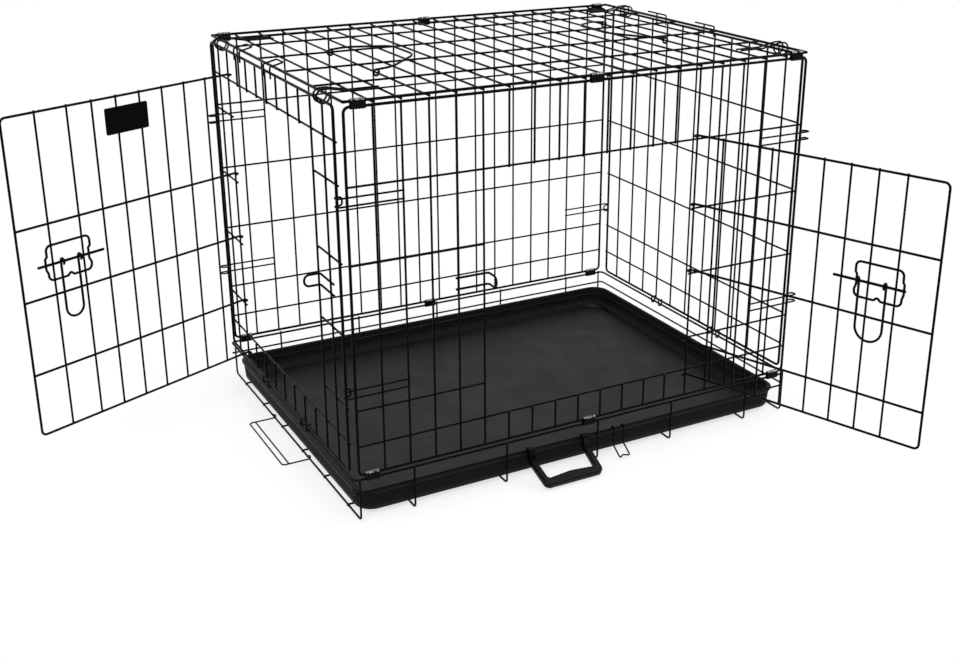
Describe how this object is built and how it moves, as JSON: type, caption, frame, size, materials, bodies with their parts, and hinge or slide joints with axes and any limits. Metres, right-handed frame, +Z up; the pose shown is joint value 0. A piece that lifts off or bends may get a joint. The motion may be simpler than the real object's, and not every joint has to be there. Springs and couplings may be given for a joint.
{
  "type": "folding dog crate",
  "caption": "Folding wire dog crate with a side door, an end door, slide-bolt latches, a lift-out plastic tray and a carry handle.",
  "frame": {"origin": "centre of the crate's footprint on the floor", "axes": "+Z up, -Y towards the long side with the door, -X towards the end with the door"},
  "size_m": [0.8957, 0.7377, 0.4809],
  "materials": {
    "coated_wire": "gloss black powder coat on steel wire",
    "clip_sheet": "gloss black coat on folded steel strip",
    "tray_plastic": "satin moulded black plastic",
    "handle_plastic": "smooth black plastic",
    "plate_plastic": "plain matt black plate"
  },
  "bodies": {
    "base": {"base_frame": "coated_wire", "base_front_clips": "clip_sheet", "base_back_clips": "clip_sheet"},
    "tray": {"tray": "tray_plastic"},
    "tray_stop": {"tray_stop": "coated_wire"},
    "carry_handle": {"carry_handle": "handle_plastic"},
    "fold_hook": {"fold_hook": "coated_wire"},
    "front": {"front_panel": "coated_wire", "front_corner_hooks": "coated_wire", "front_door_catch": "coated_wire"},
    "back": {"back_panel": "coated_wire", "back_corner_hooks": "coated_wire"},
    "roof": {"roof_panel": "coated_wire", "roof_front_clips": "clip_sheet", "roof_back_clips": "clip_sheet", "roof_end_hooks": "coated_wire", "roof_end_stops": "coated_wire"},
    "left_bail": {"left_bail": "coated_wire"},
    "right_bail": {"right_bail": "coated_wire"},
    "left_end": {"left_end_panel": "coated_wire", "left_end_hinge_loops": "coated_wire", "end_door_catch": "coated_wire"},
    "right_end": {"right_end_panel": "coated_wire", "right_end_hinge_loops": "coated_wire"},
    "front_door": {"front_door": "coated_wire", "front_latch_guide": "coated_wire"},
    "front_bolt": {"front_latch_bolt": "coated_wire"},
    "front_pull": {"front_latch_pull": "coated_wire"},
    "end_door": {"end_door": "coated_wire", "end_latch_guide": "coated_wire", "bare_plate": "plate_plastic"},
    "end_bolt": {"end_latch_bolt": "coated_wire"},
    "end_pull": {"end_latch_pull": "coated_wire"}
  },
  "joints": [
    {"name": "front_fold", "type": "hinge", "parent": "base", "child": "front", "pos_m": [0, -0.223, 0.0575], "axis": [-1, 0, 0], "range_deg": [0, 88], "deforming": ["front_corner_hooks", "roof_end_hooks", "roof_end_stops"]},
    {"name": "back_fold", "type": "hinge", "parent": "base", "child": "back", "pos_m": [0, 0.223, 0.0575], "axis": [-1, 0, 0], "range_deg": [0, 88]},
    {"name": "roof_fold", "type": "hinge", "parent": "front", "child": "roof", "pos_m": [0, -0.223, 0.4675], "axis": [-1, 0, 0], "range_deg": [-88, 0]},
    {"name": "left_end_fold", "type": "hinge", "parent": "base", "child": "left_end", "pos_m": [-0.3023, 0, 0.0518], "axis": [0, -1, 0], "range_deg": [-22, 0]},
    {"name": "right_end_fold", "type": "hinge", "parent": "base", "child": "right_end", "pos_m": [0.3023, 0, 0.0518], "axis": [0, 1, 0], "range_deg": [-88, 0]},
    {"name": "front_door_swing", "type": "hinge", "parent": "front", "child": "front_door", "pos_m": [0.1404, -0.223, 0.24], "axis": [0, 0, -1], "range_deg": [-50, 110]},
    {"name": "end_door_swing", "type": "hinge", "parent": "left_end", "child": "end_door", "pos_m": [-0.3023, 0.144, 0.25], "axis": [0, 0, -1], "range_deg": [-66.5, 93.5]},
    {"name": "front_bolt_slide", "type": "slide", "parent": "front_door", "child": "front_bolt", "axis": [0.342, -0.9397, 0], "range_m": [0, 0.011]},
    {"name": "end_bolt_slide", "type": "slide", "parent": "end_door", "child": "end_bolt", "axis": [-0.9171, -0.3987, 0], "range_m": [0, 0.011]},
    {"name": "front_pull_lift", "type": "hinge", "parent": "front_bolt", "child": "front_pull", "pos_m": [0.22671, -0.43528, 0.2595], "axis": [0.342, -0.9397, 0], "range_deg": [0, 100]},
    {"name": "end_pull_lift", "type": "hinge", "parent": "end_bolt", "child": "end_pull", "pos_m": [-0.52487, 0.05649, 0.262], "axis": [0.9171, 0.3987, 0], "range_deg": [0, 100]},
    {"name": "tray_slide", "type": "slide", "parent": "base", "child": "tray", "axis": [-1, 0, 0], "range_m": [0, 0.56]},
    {"name": "tray_stop_swing", "type": "hinge", "parent": "base", "child": "tray_stop", "pos_m": [-0.297, 0.006, 0.0033], "axis": [0, -1, 0], "range_deg": [-86, 0]},
    {"name": "carry_handle_swing", "type": "hinge", "parent": "base", "child": "carry_handle", "pos_m": [-0.043, -0.2232, 0.0355], "axis": [-1, 0, 0], "range_deg": [0, 80]},
    {"name": "fold_hook_swing", "type": "hinge", "parent": "base", "child": "fold_hook", "pos_m": [0.042, -0.2232, 0.0355], "axis": [-1, 0, 0], "range_deg": [0, 120]},
    {"name": "left_bail_lift", "type": "hinge", "parent": "roof", "child": "left_bail", "pos_m": [-0.2028, -0.017, 0.4707], "axis": [0, -1, 0], "range_deg": [0, 150]},
    {"name": "right_bail_lift", "type": "hinge", "parent": "roof", "child": "right_bail", "pos_m": [0.2028, 0.009, 0.4707], "axis": [0, 1, 0], "range_deg": [0, 150]}
  ],
  "couplings": [
    {"joint": "back_fold", "follows": "front_fold", "ratio": 1},
    {"joint": "roof_fold", "follows": "front_fold", "ratio": -1}
  ]
}
